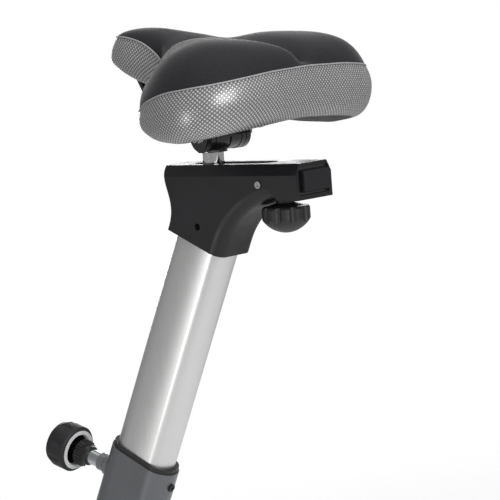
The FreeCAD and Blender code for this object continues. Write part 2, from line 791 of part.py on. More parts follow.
def cover_screws():
    """Socket screws through the head's sides into the channel, cross-head screws into the post."""
    side = []
    neck = []
    for sign in (1, -1):
        turn = Rotation(Vector(0, 1, 0), 90 * sign)
        screw = cut(fuse(rod(3.6, 0, 2.4), rod(2.05, -6.6, 0)), hexagon(3, 1, 3))
        side.append(moved(screw, (sign * 27.3, *side_screw_point()), turn))
        cross = fuse(block(-0.5, 0.5, -1.9, 1.9, 0.9, 3), block(-1.9, 1.9, -0.5, 0.5, 0.9, 3))
        screw = cut(fuse(rod(3.1, 0, 1.8), rod(1.7, -6.5, 0)), cross)
        neck.append(moved(screw, (sign * 22, *neck_screw_point()), turn))
    node("side_screws", group(*side), HEAD)
    node("neck_screws", group(*neck), HEAD)


# ---- slide bar and stub ----------------------------------------------------------------------

def bar_middle():
    return -size["channel_top"] - size["channel_height"] / 2


def slide_bar():
    s = size
    half = s["bar_width"] / 2
    up = s["bar_height"] / 2
    wall = s["bar_wall"]
    middle = bar_middle()
    tube = block(-half, half, -s["bar_front"], s["bar_rear"], middle - up, middle + up)
    bore = block(wall - half, half - wall, -s["bar_front"] - 1, s["bar_rear"] + 1,
                 middle - up + wall, middle + up - wall)
    node("slide_bar", cut(tube, bore), HEAD)


def saddle_stub():
    """Chrome tube welded on the bar; the clamp sits on its top."""
    s = size
    radius = s["stub_diameter"] / 2
    low = bar_middle() + s["bar_height"] / 2
    node("saddle_stub", turned([(radius - s["stub_wall"], low), (radius, low),
                                (radius, s["stub_top"] - 1), (radius - 0.8, s["stub_top"]),
                                (radius - s["stub_wall"], s["stub_top"])]), HEAD)


def bar_plugs():
    """Plastic plugs in the bar's ends; the rear one has a framed face."""
    s = size
    half = s["bar_width"] / 2
    up = s["bar_height"] / 2
    wall = s["bar_wall"]
    middle = bar_middle()
    for name, face, outward in (("bar_plug_front", -s["bar_front"], -1),
                                ("bar_plug_rear", s["bar_rear"], 1)):
        proud = face + outward * 2.5
        deep = face - outward * 14
        ends = (face, proud) if outward > 0 else (proud, face)
        flange = block(-half, half, *ends, middle - up, middle + up)
        ends = (deep, face) if outward > 0 else (face, deep)
        stem = block(wall - half + 0.05, half - wall - 0.05, *ends, middle - up + wall + 0.05,
                     middle + up - wall - 0.05)
        plug = fuse(flange, stem)
        ends = (deep - 1, face - 1) if outward > 0 else (face + 1, deep + 1)
        hollow = block(wall - half + 2, half - wall - 2, *ends, middle - up + wall + 2,
                       middle + up - wall - 2)
        node(name, cut(plug, hollow), HEAD)


# ---- lock knob -------------------------------------------------------------------------------

def knob_frame():
    origin, turn = HEAD
    return (origin[0], origin[1] + size["knob_back"], origin[2]), turn


def pressure_pad():
    """Pad on the lock screw's tip that presses on the slide bar and doesn't turn."""
    s = size
    top = bar_middle() - s["bar_height"] / 2 - 0.3
    node("pressure_pad", turned([(0, top - 1.6), (4.4, top - 1.6), (4.4, top - 0.4), (4, top),
                                 (0, top)]), knob_frame())


def lock_screw():
    s = size
    top = bar_middle() - s["bar_height"] / 2 - 0.3 - 1.7
    radius = s["lock_screw"] / 2
    low = -s["knob_top"] - 16
    node("lock_screw", turned([(0, low), (radius, low), (radius, top - 1), (radius - 1, top),
                               (0, top)]), knob_frame())


def lock_knob():
    """Moulded knob with a narrow neck, a scalloped rim and a domed end."""
    s = size
    rim = s["knob_diameter"] / 2
    top = -s["knob_top"]
    bottom = top - s["knob_height"]
    hub = s["knob_hub"] / 2
    bore = s["lock_screw"] / 2 + 0.02
    # the domed end is close to a part of a ball centred on the axis, with a small flat
    brim = top - 15
    depth = (brim - bottom).number
    ball = (rim.number ** 2 + depth ** 2) / (2 * depth)
    half_way = rim.number / 2
    on_dome = bottom + (ball - math.sqrt(ball ** 2 - half_way ** 2))
    body = turned([(bore, top + 4.8), (hub, top + 4.8), (hub, top + 1), (hub + 3, top),
                   (rim - 6.5, top - 1.9), (rim - 1.5, top - 2.6), (rim, top - 4.5),
                   (rim, brim, half_way, on_dome),
                   (3, bottom), (0, bottom), (0, top - 16.05), (bore, top - 16.05)])
    grooves = []
    count = int(s["knob_grooves"].number)
    for index in range(count):
        angle = math.radians(360 * (index + 0.5) / count)
        reach = rim.number + 1.8
        groove = doc.addObject("Part::Cylinder", "groove")
        bind(groove, Radius=4, Height=40)
        groove.Placement = Placement(Vector(reach * math.cos(angle), reach * math.sin(angle),
                                            bottom.number - 2), Rotation())
        grooves.append(groove)
    node("lock_knob", cut(body, *grooves), knob_frame())


# ---- saddle clamp ----------------------------------------------------------------------------

def clamp_block():
    """Split clamp on the stub, with a cross bore for the bolt and toothed end faces."""
    s = size
    half = s["block_half"]
    height = s["clamp_height"]
    radius = s["stub_diameter"] / 2 + 0.05
    pitch = s["saddle_pitch"]
    back = s["bolt_back"]
    middle = (back * cosine(pitch), height - back * sine(pitch))
    bolt_at = (middle[0] + s["bolt_lift"] * sine(pitch), middle[1] + s["bolt_lift"] * cosine(pitch))
    barrel = rod(s["ear_radius"] - 0.5, -half, half, middle, axis="x")
    collar = rod(s["block_radius"] - 0.5, 11, s["stub_top"] + 3)
    bore = rod(radius, 0, s["stub_top"])
    bolt_way = rod(s["clamp_bolt"] / 2 + 0.4, -40, 40, bolt_at, axis="x")
    split = block(-1.2, 1.2, 0, 30, 0, 26)
    node("clamp_block", cut(fuse(barrel, collar), bore, split, bolt_way), HEAD)


def toothed_disc(radius, low, high, teeth=24):
    """Disc along X with shallow radial teeth cut in its inner face."""
    disc = rod(radius, low, high, axis="x")
    cuts = []
    for index in range(teeth):
        tooth = doc.addObject("Part::Box", "tooth")
        bind(tooth, Length=0.8, Width=1.3, Height=as_size(radius) + 1)
        angle = 360 * index / teeth
        spin = Rotation(Vector(1, 0, 0), angle)
        start = Vector(as_size(low).number - 0.3, -0.65, 0)
        tooth.Placement = Placement(Vector(start.x, 0, 0), spin).multiply(
            Placement(Vector(0, -0.65, as_size(radius).number * 0.55), Rotation()))
        cuts.append(tooth)
    return cut(disc, *cuts)


def clamp_ears():
    """Inner and outer ears that hold the two rails between them."""
    s = size
    rail = s["rail_diameter"] / 2
    gauge = s["rail_gauge"]
    inner_from = s["block_half"] + 0.3
    outer_to = s["clamp_half"]
    bolt = s["clamp_bolt"] / 2 + 0.1
    back = s["bolt_back"]
    radius = s["ear_radius"]
    crown = s["rail_lift"] + 5
    bolt_at = (back, s["bolt_lift"])
    rail_way = rod(rail + 0.02, -30, 50, (gauge, s["rail_lift"]), axis="y")
    disc = moved(toothed_disc(radius, inner_from, gauge - 0.6), (0, back, 0))
    inner = cut(fuse(disc, block(inner_from + 1, gauge - 0.6, back - 11, back + 11, 0, crown)),
                rod(bolt, 0, 60, bolt_at, axis="x"), rail_way)
    outer = cut(fuse(rod(radius, gauge + 0.6, outer_to - 5, (back, 0), axis="x"),
                     rod(radius - 3, outer_to - 5, outer_to - 1, (back, 0), axis="x"),
                     block(gauge + 0.6, outer_to - 5, back - 11, back + 11, 0, crown)),
                rod(bolt, 0, 60, bolt_at, axis="x"), rail_way)
    node("clamp_inner_ears", group(inner, twin(inner)), SADDLE)
    node("clamp_outer_ears", group(outer, twin(outer)), SADDLE)


def clamp_fasteners():
    s = size
    radius = s["clamp_bolt"] / 2
    outer = s["clamp_half"] - 1
    lift = s["bolt_lift"]
    back = s["bolt_back"]
    bolt = rod(radius, -outer - 7.5, outer + 7.5, (back, lift), axis="x")
    node("clamp_bolt", group(bolt), SADDLE)
    washers = []
    nuts = []
    for sign in (1, -1):
        turn = Rotation(Vector(0, 1, 0), 90 * sign)
        washer = cut(rod(7.8, 0, 1.4), rod(radius + 0.1, -1, 3))
        washers.append(moved(washer, (sign * outer, back, lift), turn))
        nut = cut(hexagon(13, 1.4, 7), rod(radius + 0.02, 0, 8))
        nuts.append(moved(nut, (sign * outer, back, lift), turn))
    node("clamp_washers", group(*washers), SADDLE)
    node("clamp_nuts", group(*nuts), SADDLE)


# ---- saddle ----------------------------------------------------------------------------------

def rail(sign, slack=0):
    """One bent rail, or, with some slack, the space it needs."""
    s = size
    gauge = s["rail_gauge"] * sign
    level = s["rail_lift"]
    return bent_rod([(7 * sign, -108, 68), (9 * sign, -92, 64), (gauge, -46, level),
                     (gauge, 44, level), (38 * sign, 84, 41), (38 * sign, 100, 41)],
                    9, s["rail_diameter"] / 2 + slack)


def saddle_rails():
    node("saddle_rails", group(rail(1), rail(-1)), SADDLE)


def saddle_plan(inset, low, high):
    """Plan outline of the padded saddle, moved in and padded between two heights."""
    s = size
    inset = as_size(inset)
    lobe = s["lobe_radius"] - inset
    nose = s["nose_radius"] - inset
    side = s["lobe_side"]
    back = s["lobe_back"]
    front = -s["nose_front"]
    waist = 36 - inset
    hip = 60 - inset
    body = plan_slab([(nose, front), (waist, -48), (hip, -14), (side, back), (side, back + lobe),
                      (-side, back + lobe), (-side, back), (-hip, -14), (-waist, -48),
                      (-nose, front)], low, high)
    return fuse(body, rod(lobe, low, high, (side, back)), rod(lobe, low, high, (-side, back)),
                rod(nose, low, high, (0, front)))


def saddle_form(inset, top_inset, lift):
    """Plain form of the padded saddle: its plan and its side outline, both moved in."""
    top = size["saddle_top"] - top_inset
    foot = as_size(lift)
    profile = side_slab([(-140, top - 30), (-132, top - 14), (-118, top - 4), (-96, top),
                         (-50, top - 6), (-20, top - 8), (24, top - 3), (62, top), (96, top - 5),
                         (118, top - 16), (130, top - 30), (135, top - 46), (135, 24 + foot),
                         (112, 15 + foot), (43, 3 + foot), (8, 6 + foot), (-14, 28 + foot),
                         (-34, 54 + foot), (-60, 63 + foot), (-140, 66 + foot)], 300)
    return common(saddle_plan(inset, -60, 160), profile)


def tunnel(widen):
    """Space under the saddle for the rails and the clamp."""
    half = size["tunnel_half"] + widen
    return block(-half, half, -72, 140, -80, size["tunnel_roof"] + widen)


def saddle_shell():
    """Skin of the padding, open underneath."""
    skin = size["skin"]
    return cut(saddle_form(0, 0, 0), saddle_form(skin, skin, -12))


def above_seam():
    """Everything over the seam between the saddle's top panel and its side band."""
    return side_slab([(-150, 86), (-96, 90), (-50, 76), (-14, 44), (6, 36), (30, 46), (70, 64),
                      (128, 76), (150, 78), (150, 170), (-150, 170)], 300)


def nose_pocket():
    """Pocket in the nose for the rails' front socket."""
    return block(-18, 18, -117, -88, 56, 74)


def saddle_padding():
    """Top cover, side band, moulded pan and foam."""
    s = size
    skin = s["skin"]
    over = s["pan_thickness"]
    foot = 0.6
    node("saddle_cover", common(saddle_shell(), above_seam()), SADDLE)
    node("saddle_skirt", cut(saddle_shell(), above_seam()), SADDLE)
    tray = cut(saddle_form(skin, skin, foot), tunnel(0))
    filling = cut(saddle_form(skin - 1, skin - 1, foot + over), tunnel(over))
    node("saddle_pan", cut(tray, filling, nose_pocket()), SADDLE)
    foam = cut(saddle_form(skin, skin, foot + over), tunnel(over), nose_pocket())
    node("saddle_foam", foam, SADDLE)


def rail_holders():
    """Nose socket and rear holders for the rails' ends."""
    s = size
    front = cut(block(-16, 16, -113, -88, 62, 74), rail(1, 0.02), rail(-1, 0.02))
    node("front_rail_socket", front, SADDLE)
    rear = []
    for sign in (1, -1):
        bracket = block(*sorted((sign * 31, sign * 45)), 80, 104, 41, s["tunnel_roof"])
        holder = fuse(rod(7.8, 78, 106, (38 * sign, 41), axis="y"), bracket)
        rear.append(cut(holder, rail(sign, 0.02)))
    node("rear_rail_holders", group(*rear), SADDLE)


# ---- build, check and write ------------------------------------------------------------------

for make in (seat_tube, tube_bushing, bushing_screw, pin_boss, pin_barrel, spline_collar, pull_pin,
             pin_spring, pull_cap, cap_fittings, seat_post, post_plug, head_channel, lock_nut,
             channel_liners, head_covers, cover_screws, slide_bar, saddle_stub, bar_plugs,
             pressure_pad, lock_screw, lock_knob, clamp_block, clamp_ears, clamp_fasteners,
             saddle_rails, saddle_padding, rail_holders):
    make()
doc.recompute()

for item in doc.Objects:
    if "Invalid" in item.State or "Error" in item.State:
        raise RuntimeError(f"{item.Label} ({item.TypeId}) failed: {item.State}")
os.makedirs("parts", exist_ok=True)
for item in nodes:
    shape = item.Shape
    if shape.isNull() or not shape.isValid() or not shape.Solids:
        raise RuntimeError(f"{item.Label} has no valid solid")
    shape.exportStep(f"parts/{item.Label}.step")
    print(f"{item.Label:20s} solids {len(shape.Solids)} volume {shape.Volume / 1000:9.2f} cm3")
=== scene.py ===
import json
import math

import bmesh
import bpy
from mathutils import Matrix, Vector


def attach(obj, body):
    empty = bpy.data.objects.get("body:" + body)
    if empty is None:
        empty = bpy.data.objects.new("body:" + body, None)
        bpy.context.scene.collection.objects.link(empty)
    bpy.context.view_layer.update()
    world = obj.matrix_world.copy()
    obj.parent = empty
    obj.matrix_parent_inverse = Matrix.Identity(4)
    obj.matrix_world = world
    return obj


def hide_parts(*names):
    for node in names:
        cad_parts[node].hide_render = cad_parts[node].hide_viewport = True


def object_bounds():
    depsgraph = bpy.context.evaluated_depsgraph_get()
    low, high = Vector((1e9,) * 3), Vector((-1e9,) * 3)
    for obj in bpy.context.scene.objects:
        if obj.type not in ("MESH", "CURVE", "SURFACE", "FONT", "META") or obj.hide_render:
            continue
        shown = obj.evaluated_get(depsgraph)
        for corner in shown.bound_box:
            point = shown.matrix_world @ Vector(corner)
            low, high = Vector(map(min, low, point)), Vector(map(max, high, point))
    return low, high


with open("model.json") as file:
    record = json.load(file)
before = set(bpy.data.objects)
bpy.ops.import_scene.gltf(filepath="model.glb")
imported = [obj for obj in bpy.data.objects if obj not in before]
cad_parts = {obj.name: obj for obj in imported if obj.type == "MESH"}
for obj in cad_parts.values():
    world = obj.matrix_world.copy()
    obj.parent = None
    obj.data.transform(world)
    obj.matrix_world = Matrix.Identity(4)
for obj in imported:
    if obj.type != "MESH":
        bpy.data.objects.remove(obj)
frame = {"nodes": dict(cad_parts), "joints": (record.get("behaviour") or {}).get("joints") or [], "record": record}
cad_low, cad_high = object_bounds()

MM = 0.001
JOINTS = {joint["name"]: joint for joint in frame["joints"]}

# the saddle frame: millimetres, origin at the middle of the clamp's round, nose up by the pitch
SWIVEL_AT = JOINTS["saddle_swivel"]["pos_m"]
CLAMP_ABOVE_SWIVEL = 7
SADDLE_AT = Vector((0, SWIVEL_AT[1] / MM, SWIVEL_AT[2] / MM + CLAMP_ABOVE_SWIVEL))
SADDLE_PITCH = math.radians(4.5)

POST_AXIS = JOINTS["post_height"]["axis"]
POST_TILT = math.atan2(POST_AXIS[1], POST_AXIS[2])

# ---- camera ----------------------------------------------------------------------------------

CAMERA_AZIMUTH = math.radians(128.9)
CAMERA_ELEVATION = math.radians(6.05)
CAMERA_ROLL = math.radians(4.1)
CAMERA_DISTANCE = 2.6
CAMERA_LENS = 187.2
CAMERA_AIM = Vector((-0.0118, 0.2548, 0.4433))


def add_camera():
    """A long-lens camera that looks at the aim from behind the rider's left, slightly above."""
    level = math.cos(CAMERA_ELEVATION)
    back = Vector((math.sin(CAMERA_AZIMUTH) * level, -math.cos(CAMERA_AZIMUTH) * level,
                   math.sin(CAMERA_ELEVATION)))
    level_right = (-back).cross(Vector((0, 0, 1))).normalized()
    level_up = level_right.cross(-back)
    right = level_right * math.cos(CAMERA_ROLL) - level_up * math.sin(CAMERA_ROLL)
    up = level_right * math.sin(CAMERA_ROLL) + level_up * math.cos(CAMERA_ROLL)
    data = bpy.data.cameras.new("camera")
    data.lens = CAMERA_LENS
    data.sensor_width = 36
    data.clip_end = 50
    camera = bpy.data.objects.new("camera", data)
    turn = Matrix((right, up, back)).transposed().to_4x4()
    camera.matrix_world = Matrix.Translation(CAMERA_AIM + back * CAMERA_DISTANCE) @ turn
    bpy.context.scene.collection.objects.link(camera)
    bpy.context.scene.camera = camera


# ---- mesh helpers ----------------------------------------------------------------------------

CURVE_STEPS = 40            # short chords between two given points of a smooth path
WELD_DISTANCE = 0.02 * MM


def from_saddle(x, y, z):
    """A point of the saddle frame, in mm, as a point of the object's own frame, in metres."""
    c, s = math.cos(SADDLE_PITCH), math.sin(SADDLE_PITCH)
    return Vector((x, SADDLE_AT.y + y * c + z * s, SADDLE_AT.z - y * s + z * c)) * MM


def lerp(a, b, t):
    return a + (b - a) * t


def smoothstep(low, high, value):
    t = min(1, max(0, (value - low) / (high - low)))
    return t * t * (3 - 2 * t)


def through(table, at):
    """Smooth value at a place along a table of (place, value), flat beyond its ends."""
    if at <= table[0][0]:
        return table[0][1]
    if at >= table[-1][0]:
        return table[-1][1]
    for k in range(len(table) - 1):
        if at <= table[k + 1][0]:
            break
    x0, y0 = table[k]
    x1, y1 = table[k + 1]
    chord = (y1 - y0) / (x1 - x0)
    before = (y0 - table[k - 1][1]) / (x0 - table[k - 1][0]) if k else chord
    after = chord
    if k + 2 < len(table):
        after = (table[k + 2][1] - y1) / (table[k + 2][0] - x1)
    m0 = (before + chord) / 2 if before * chord > 0 else 0
    m1 = (chord + after) / 2 if chord * after > 0 else 0
    h = x1 - x0
    t = (at - x0) / h
    return ((2 * t ** 3 - 3 * t ** 2 + 1) * y0 + (t ** 3 - 2 * t ** 2 + t) * h * m0
            + (3 * t ** 2 - 2 * t ** 3) * y1 + (t ** 3 - t ** 2) * h * m1)


def smooth_path(points, count, before, after):
    """count + 1 points evenly spaced along a smooth curve through the given ones, and its length.

    The curve's direction at its ends comes from the guide points before and after it.
    """
    guide = [before, *points, after]
    fine = []
    for k in range(1, len(guide) - 2):
        p0, p1, p2, p3 = guide[k - 1:k + 3]
        for step in range(CURVE_STEPS):
            t = step / CURVE_STEPS
            fine.append(0.5 * (2 * p1 + (p2 - p0) * t + (2 * p0 - 5 * p1 + 4 * p2 - p3) * t ** 2
                               + (3 * p1 - p0 - 3 * p2 + p3) * t ** 3))
    fine.append(points[-1].copy())
    lengths = [0]
    for a, b in zip(fine, fine[1:]):
        lengths.append(lengths[-1] + (b - a).length)
    path = []
    k = 0
    for step in range(count + 1):
        want = lengths[-1] * step / count
        while k < len(lengths) - 2 and lengths[k + 1] < want:
            k += 1
        part = (want - lengths[k]) / (lengths[k + 1] - lengths[k])
        path.append(fine[k].lerp(fine[k + 1], min(1, part)))
    return path, lengths[-1]


def sheet(name, rows, marks=None, around=False):
    """A mesh of quads through rows of points, with an attribute "weave" where marks are given.

    The last row joins the first one again if the sheet goes around.
    """
    mesh = bpy.data.meshes.new(name)
    across = len(rows[0])
    points = [p for row in rows for p in row]
    faces = []
    last = len(rows) if around else len(rows) - 1
    for i in range(last):
        below, above = i * across, (i + 1) % len(rows) * across
        for j in range(across - 1):
            faces.append((below + j, below + j + 1, above + j + 1, above + j))
    mesh.from_pydata(points, [], faces)
    if marks:
        layer = mesh.attributes.new("weave", "FLOAT_VECTOR", "POINT")
        for k, mark in enumerate(m for row in marks for m in row):
            layer.data[k].vector = mark
    item = bpy.data.objects.new(name, mesh)
    bpy.context.scene.collection.objects.link(item)
    return item


def weld(item):
    """Joins points that lie on each other and drops the faces that this leaves without area."""
    bm = bmesh.new()
    bm.from_mesh(item.data)
    bmesh.ops.remove_doubles(bm, verts=bm.verts, dist=WELD_DISTANCE)
    bmesh.ops.dissolve_degenerate(bm, edges=bm.edges, dist=WELD_DISTANCE / 4)
    bm.to_mesh(item.data)
    bm.free()


def face_away(item, centre):
    """Turns the faces of an open sheet to look away from a point."""
    mesh = item.data
    total = sum((p.center - centre).normalized().dot(p.normal) * p.area for p in mesh.polygons)
    if total < 0:
        mesh.flip_normals()
    mesh.update()


def smooth_shade(item):
    for polygon in item.data.polygons:
        polygon.use_smooth = True


def tube(name, path, radius, sides=10):
    """A round tube along a closed path of points."""
    rows = []
    count = len(path)
    for k in range(count):
        along = (path[(k + 1) % count] - path[k - 1]).normalized()
        across = along.cross(Vector((0, 0, 1))).normalized()
        lift = across.cross(along)
        ring = []
        for step in range(sides + 1):
            angle = 2 * math.pi * step / sides
            ring.append(path[k] + (across * math.cos(angle) + lift * math.sin(angle)) * radius)
        rows.append(ring)
    item = sheet(name, rows, around=True)
    weld(item)
    bm = bmesh.new()
    bm.from_mesh(item.data)
    bmesh.ops.recalc_face_normals(bm, faces=bm.faces)
    bm.to_mesh(item.data)
    bm.free()
    smooth_shade(item)
    return item


# ---- saddle form, in the saddle frame, mm ----------------------------------------------------

# the seam between top panel and side band, from the nose's tip round the rider's left to the rear
SEAM = [Vector(p) for p in (
    (0, -118, 94.2), (13, -112, 95.2), (22, -100, 96.4), (27, -84, 96), (30, -64, 92), (33, -46, 84),
    (38, -31, 74), (51, -20, 59), (75, -14, 44), (96, -8, 36), (111, 1.5, 34.3), (125, 22, 45),
    (133.5, 51, 55), (132.5, 79, 61), (119, 103, 66), (94, 117, 70.5), (60, 122, 74),
    (30, 122, 75), (0, 121.5, 75.7))]
# the guide points before and after it lie on the rider's right
BEFORE_SEAM = Vector((-13, -112, 95.2))
AFTER_SEAM = Vector((-30, 122, 75))
ROWS = 132                  # rows of points across the saddle, evenly spaced along half the seam

# each sitting lobe rises from a foot to its crest: by direction from its middle, in degrees, how far
# the foot is, how high it is and how full the curve between them is
LOBE_AT = (66, 55)
LOBE_CREST = 102.6
LOBE_REACH = ((-180, 80), (-150, 80), (-120, 79), (-102, 76.7), (-82.6, 69.6), (-51, 70.4),
              (-29, 67.6), (-3, 68.1), (20, 71.2), (43, 70.8), (66, 68), (95, 67.3), (118, 75.5),
              (135, 85), (150, 81), (180, 80))
LOBE_FOOT = ((-180, 60), (-150, 60), (-120, 60), (-102, 60), (-82.6, 44), (-51, 34.3), (-29, 46),
             (-3, 55), (20, 61), (43, 65.5), (66, 70), (95, 74), (118, 74.8), (135, 73), (150, 63),
             (180, 60))
LOBE_POWER = ((-180, 2.4), (-150, 2.8), (-120, 3), (-97, 2.8), (-82, 2.3), (-51, 1.95), (0, 2.1),
              (43, 2.4), (95, 2.5), (150, 2.4), (180, 2.4))

# the ridge along the middle, by place fore and aft: its crest, half width and foot
RIDGE = ((-118, 94.5), (-115, 95.5), (-107, 100.1), (-95, 103.5), (-71, 105.2), (-44, 103.7),
         (-20, 101), (0, 97.5), (20, 92.5), (43, 88), (77, 83.5), (100, 79.5), (118, 76.5))
RIDGE_HALF = ((-118, 16), (-112, 19), (-100, 25), (-84, 29), (-64, 32), (-46, 36), (-31, 46),
              (-10, 60), (20, 58), (50, 48), (118, 44))
RIDGE_FOOT = ((-118, 93.5), (-84, 95), (-64, 90), (-46, 80), (-31, 68), (-10, 62), (118, 58))
BLEND = 9                   # width of the rounding where lobes and ridge meet
TOP_COLUMNS = 30            # faces across half the top panel
RELAX_PASSES = 6

# the centre line's place fore and aft at rows of the top panel
SPINE = ((0, -104), (20, -88), (44, -45), (56, -24), (80, 15), (112, 80), (ROWS, 106))

# the side band's bottom edge: under the nose and waist by place fore and aft, and round the lobe by
# direction from its middle, in degrees
WAIST_END = -20
NOSE_BOTTOM = ((-118, 65), (-86, 55.6), (-58, 47.7), (-35, 38), (WAIST_END, 24))
LOBE_BOTTOM = ((-102, 24), (-85, 15.5), (-51, 9.5), (-29, 7), (0, 6.8), (20, 9.8), (43, 14.5), (66, 18),
               (95, 21.5), (118, 23.5), (135, 24.8))
# round the lobe too: how far the band stands out past the seam and tucks in under it, and the share of
# its height at which it is widest
LOBE_OUT = ((-102, 0.5), (-51, 0.8), (-29, 1.5), (0, 3), (43, 6.5), (66, 5.5), (135, 4.5))
LOBE_TUCK = ((-102, 12), (-51, 16), (0, 13), (43, 14), (66, 14), (95, 11), (135, 10))
LOBE_SHARE = ((-102, 0.55), (-51, 0.6), (0, 0.6), (43, 0.6), (135, 0.5))

# the underside, by place fore and aft: half width and roof of the tunnel along its middle, and the
# width of the rim round it
TUNNEL_HALF = ((-110, 13), (-60, 24), (-20, 44), (0, 46), (130, 46))
TUNNEL_ROOF = ((-110, 67), (-80, 61), (-50, 55), (-10, 50), (130, 50))
RIM_WIDTH = ((-110, 6), (-60, 8), (0, 12), (130, 12))


def soft_max(a, b):
    """The higher of two heights, rounded where they are close."""
    gap = max(BLEND - abs(a - b), 0) / BLEND
    return max(a, b) + gap * gap * BLEND / 4


def lobe_height(x, y):
    """Height of the lobe on the rider's left, or of its foot outside it."""
    dx, dy = x - LOBE_AT[0], y - LOBE_AT[1]
    angle = math.degrees(math.atan2(dy, dx))
    reach = math.hypot(dx, dy) / through(LOBE_REACH, angle)
    foot = through(LOBE_FOOT, angle)
    power = through(LOBE_POWER, angle)
    if reach >= 1:
        return foot
    return foot + (LOBE_CREST - foot) * (1 - reach ** power) ** (1 / power)


def ridge_height(x, y):
    """Height of the ridge along the middle, or of its foot outside it."""
    foot = through(RIDGE_FOOT, y)
    part = abs(x) / through(RIDGE_HALF, y)
    if part >= 1:
        return foot
    return foot + (through(RIDGE, y) - foot) * math.sqrt(1 - part ** 2.2)


def top_height(x, y):
    """Height of the top panel before it is relaxed and puffed out."""
    sides = soft_max(lobe_height(x, y), lobe_height(-x, y))
    return soft_max(sides, ridge_height(x, y))


def seam_rows():
    """Points along half the seam, their outward directions in plan, and the seam's length."""
    points, length = smooth_path(SEAM, ROWS, BEFORE_SEAM, AFTER_SEAM)
    outward = []
    for k in range(ROWS + 1):
        a, b = points[max(0, k - 1)], points[min(ROWS, k + 1)]
        along = Vector((b.x - a.x, b.y - a.y, 0)).normalized()
        outward.append(Vector((along.y, -along.x, 0)))
    outward[0] = Vector((0, -1, 0))
    outward[-1] = Vector((0, 1, 0))
    return points, outward, length


def relaxed(heights):
    """Heights with their small creases smoothed away, edges held."""
    rows, columns = len(heights), len(heights[0])
    for _ in range(RELAX_PASSES):
        old = [row[:] for row in heights]
        for i in range(rows):
            above, below = old[min(rows - 1, i + 1)], old[max(0, i - 1)]
            for j in range(columns - 1):
                inner = old[i][j - 1] if j else old[i][1]
                mean = (inner + old[i][j + 1] + above[j] + below[j]) / 4
                heights[i][j] = lerp(old[i][j], mean, 0.5)
    return heights


def top_rows(points):
    """The top panel's grid on the rider's left, from the centre line out to the seam."""
    flat = []
    heights = []
    for i, seam in enumerate(points):
        row = []
        level = []
        for j in range(TOP_COLUMNS + 1):
            part = math.sin(math.pi / 2 * j / TOP_COLUMNS)
            x = seam.x * part
            y = lerp(through(SPINE, i), seam.y, part)
            hold = math.sqrt(max(0, 1 - part ** 10))
            row.append((x, y))
            level.append(lerp(seam.z, top_height(x, y), hold))
        flat.append(row)
        heights.append(level)
    heights = relaxed(heights)
    return [[(x, y, z) for (x, y), z in zip(row, level)] for row, level in zip(flat, heights)]


def band_sizes(seam):
    """Stand-out, tuck-in, widest height's share and bottom edge of the band below a seam point."""
    if seam.y < WAIST_END:
        tip = smoothstep(-100, -118, seam.y)
        waist = smoothstep(-60, WAIST_END, seam.y)
        out = lerp(lerp(4, 7, tip), 0.5, waist)
        tuck = lerp(8, 12, waist)
        share = lerp(0.34, 0.55, waist)
        return out, tuck, share, through(NOSE_BOTTOM, seam.y)
    angle = math.degrees(math.atan2(seam.y - LOBE_AT[1], seam.x - LOBE_AT[0]))
    return tuple(through(table, angle) for table in (LOBE_OUT, LOBE_TUCK, LOBE_SHARE, LOBE_BOTTOM))


BAND_UPPER = 9              # faces down the band, from the seam to where it is widest
BAND_LOWER = 11             # and from there round to its bottom edge


def band_profile(seam, outward):
    """Points of the band from the seam down to its bottom edge."""
    out, tuck, share, bottom = band_sizes(seam)
    widest = bottom + (seam.z - bottom) * share
    row = []
    for j in range(BAND_UPPER + 1):
        w = j / BAND_UPPER
        row.append((out * (1 - (1 - w) ** 2), lerp(seam.z, widest, w)))
    for j in range(1, BAND_LOWER + 1):
        angle = math.pi / 2 * j / BAND_LOWER
        row.append((lerp(-tuck, out, math.cos(angle)), lerp(widest, bottom, math.sin(angle))))
    return [(seam.x + outward.x * r, seam.y + outward.y * r, z) for r, z in row]


def shell_profile(edge, outward, index):
    """Points of the moulded underside from the band's bottom edge in to the centre line."""
    x, y, z = edge
    middle = through(SPINE, index)
    roof = max(through(TUNNEL_ROOF, lerp(y, middle, 0.5)), z + 3)
    # the rim curls in under the band, and hangs a little below it at the saddle's rear
    lip = 0.8 * smoothstep(80, 116, y)
    row = [(x, y, z)]
    for inset, drop in ((1.5, -0.8), (2.6, lip), (4.5, lip), (7, -0.5), (through(RIM_WIDTH, y), -2)):
        row.append((max(0, x - outward.x * inset), y - outward.y * inset, z - drop))
    rim = row[-1]
    rise = min(14, 0.6 * (roof - rim[2]))
    # across the lobe's underside to the tunnel's wall, up it and over to the centre line
    wall_part = 0.96
    if rim[0] > 1:
        wall_part = min(wall_part, (through(TUNNEL_HALF, y) + 2) / rim[0])
    wall = (rim[0] * wall_part, lerp(middle, rim[1], wall_part))
    for t in (0.25, 0.5, 0.75, 1):
        row.append((lerp(rim[0], wall[0], t), lerp(rim[1], wall[1], t), rim[2] + rise * t ** 1.4))
    shoulder = (wall[0] * 0.955, lerp(middle, wall[1], 0.955))
    for t in (0.3, 0.7, 0.93):
        row.append((lerp(wall[0], shoulder[0], t), lerp(wall[1], shoulder[1], t),
                    lerp(rim[2] + rise, roof, t)))
    for t in (0.06, 0.3, 0.6, 1):
        row.append((lerp(shoulder[0], 0, t), lerp(shoulder[1], middle, t), roof))
    return row


def mirrored(rows):
    """The grid of the rider's left half and then its mirror image, once round from nose to nose."""
    right = [[(-x, y, z) for x, y, z in row] for row in rows[1:-1]]
    return rows + right[::-1]


SWELL_FRAMES = 20


